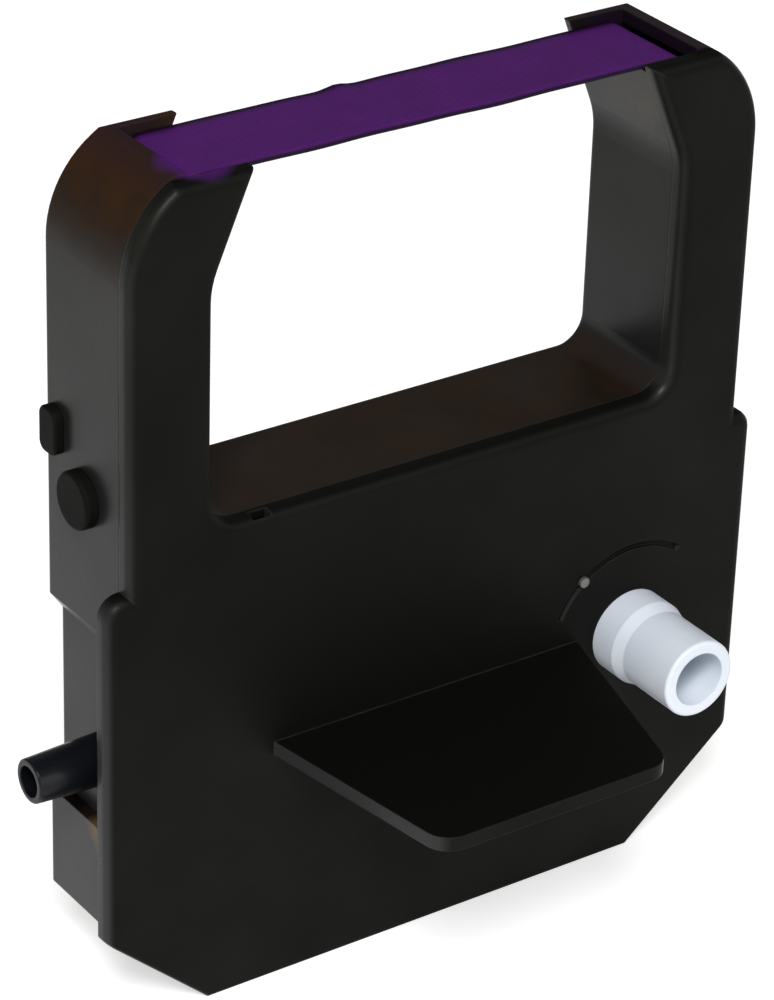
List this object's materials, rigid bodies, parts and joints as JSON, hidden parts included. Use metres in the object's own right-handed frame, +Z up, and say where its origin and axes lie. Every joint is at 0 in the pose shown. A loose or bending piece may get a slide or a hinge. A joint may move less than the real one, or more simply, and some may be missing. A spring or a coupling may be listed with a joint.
{
  "type": "printer ribbon cartridge",
  "caption": "Flat black ribbon cartridge: the inked ribbon spans an open window between its arms, a hollow knob feeds it, and a finger tab, a side peg and studs seat it in the printer.",
  "frame": {"origin": "middle of the flat bottom edge, halfway between the case's front and back faces", "axes": "+X to the right and +Y to the back as seen from the knob's side, +Z up to the ribbon"},
  "size_m": [0.0944, 0.0452, 0.1038],
  "materials": {
    "shell_black": "satin black moulding, slightly brown in the light",
    "cover_black": "satin black moulding",
    "knob_white": "cool white acetal, satin gloss",
    "washer_grey": "clear film",
    "roller_grey": "natural acetal",
    "spring_steel": "bright wire and strip",
    "arm_black": "plain moulding",
    "felt_grey": "pressed felt",
    "peg_blue_black": "gloss blue-black",
    "stud_black": "satin, darker than the wall",
    "ribbon_violet": "woven nylon soaked in violet ink"
  },
  "bodies": {
    "case": {"rear_shell": "shell_black", "front_cover": "cover_black", "thrust_washer": "washer_grey", "pressure_spring": "spring_steel", "tension_spring": "spring_steel", "tension_pad": "felt_grey", "side_peg": "peg_blue_black", "locating_stud": "stud_black", "locating_key": "stud_black", "inked_ribbon": "ribbon_violet"},
    "drive": {"drive_knob": "knob_white"},
    "arm": {"pressure_arm": "arm_black", "roller_axle": "spring_steel"},
    "nip_roller": {"pressure_roller": "roller_grey"},
    "left_guide": {"guide_roller_left": "roller_grey"},
    "right_guide": {"guide_roller_right": "roller_grey"}
  },
  "joints": [
    {"name": "knob_turn", "type": "hinge", "parent": "case", "child": "drive", "pos_m": [0.0276, 0, 0.0312], "axis": [0, -1, 0], "continuous": true},
    {"name": "arm_swing", "type": "hinge", "parent": "case", "child": "arm", "pos_m": [0.01219, 0, 0.04862], "axis": [0, -1, 0], "range_deg": [0, 8], "stiffness_Nm_per_rad": 0.05, "springref_deg": -17.19, "deforming": ["pressure_spring"]},
    {"name": "nip_roller_turn", "type": "hinge", "parent": "arm", "child": "nip_roller", "pos_m": [0.02519, 0.0004, 0.04642], "axis": [0, -1, 0], "continuous": true},
    {"name": "left_guide_turn", "type": "hinge", "parent": "case", "child": "left_guide", "pos_m": [-0.03132, 0.0004, 0.101], "axis": [0, -1, 0], "continuous": true},
    {"name": "right_guide_turn", "type": "hinge", "parent": "case", "child": "right_guide", "pos_m": [0.03132, 0.0004, 0.101], "axis": [0, -1, 0], "continuous": true}
  ],
  "couplings": [
    {"joint": "nip_roller_turn", "follows": "knob_turn", "ratio": -2},
    {"joint": "left_guide_turn", "follows": "knob_turn", "ratio": -5.7887},
    {"joint": "right_guide_turn", "follows": "knob_turn", "ratio": -5.7887}
  ]
}
